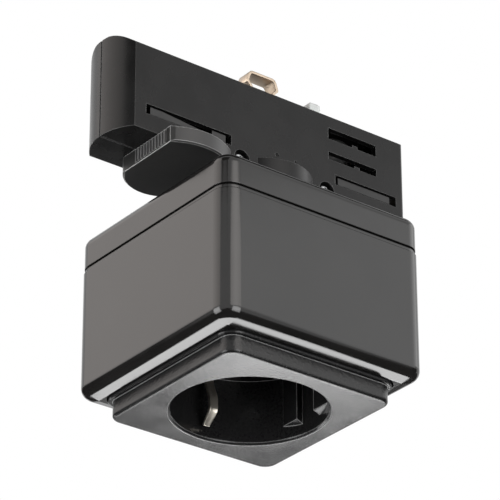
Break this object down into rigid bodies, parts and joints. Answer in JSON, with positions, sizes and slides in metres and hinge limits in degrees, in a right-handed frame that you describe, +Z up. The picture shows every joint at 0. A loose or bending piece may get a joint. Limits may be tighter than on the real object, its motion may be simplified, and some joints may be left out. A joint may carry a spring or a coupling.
{
  "type": "track light adapter",
  "caption": "Lighting track adapter with a hand locking lever and swing-out contacts, carrying a square box with an earthed power socket underneath.",
  "frame": {"origin": "on the plug recess axis at the socket face, the lowest plane of the part", "axes": "+X along the adapter from the lever end to the contact end, -Y towards the viewer's side face, +Z up to the track"},
  "size_m": [0.0897, 0.062, 0.096],
  "materials": {
    "shell_plastic": "satin moulded",
    "lever_plastic": "satin moulded",
    "box_plastic": "semi gloss moulded",
    "insert_plastic": "fine matte grain",
    "rotor_plastic": "moulded",
    "peg_plastic": "translucent",
    "base_plastic": "moulded",
    "zinc_steel": "bright zinc",
    "bar_steel": "blackened",
    "contact_brass": "bright",
    "earth_bronze": "dull bronze"
  },
  "bodies": {
    "base": {"shell_near": "shell_plastic", "shell_far": "shell_plastic", "shell_screws": "zinc_steel", "earth_loop": "earth_bronze", "guide_peg": "peg_plastic", "nipple": "zinc_steel", "neck_spacer": "shell_plastic", "nipple_nuts": "zinc_steel", "lid": "box_plastic", "lid_screws": "zinc_steel", "housing": "box_plastic", "socket_insert": "insert_plastic", "socket_base": "base_plastic", "earth_bracket": "earth_bronze", "line_socket": "contact_brass", "neutral_socket": "contact_brass", "centre_screw": "zinc_steel", "terminal_screws": "zinc_steel"},
    "lever": {"locking_lever": "lever_plastic", "lock_bar_left": "bar_steel"},
    "link": {"drive_bar": "bar_steel"},
    "rotor": {"contact_rotor": "rotor_plastic", "lock_bar_right": "bar_steel", "phase_contact": "contact_brass", "neutral_contact": "contact_brass"}
  },
  "joints": [
    {"name": "lever_turn", "type": "hinge", "parent": "base", "child": "lever", "pos_m": [-0.026, 0, 0.06], "axis": [0, 0, 1], "range_deg": [0, 90]},
    {"name": "link_swing", "type": "hinge", "parent": "lever", "child": "link", "pos_m": [-0.02218, 0.00382, 0.0702], "axis": [0, 0, 1], "range_deg": [-90, 0]},
    {"name": "rotor_turn", "type": "hinge", "parent": "base", "child": "rotor", "pos_m": [0.0263, 0, 0.06], "axis": [0, 0, 1], "range_deg": [0, 90]}
  ],
  "couplings": [
    {"joint": "rotor_turn", "follows": "lever_turn", "ratio": 1},
    {"joint": "link_swing", "follows": "lever_turn", "ratio": -1}
  ]
}
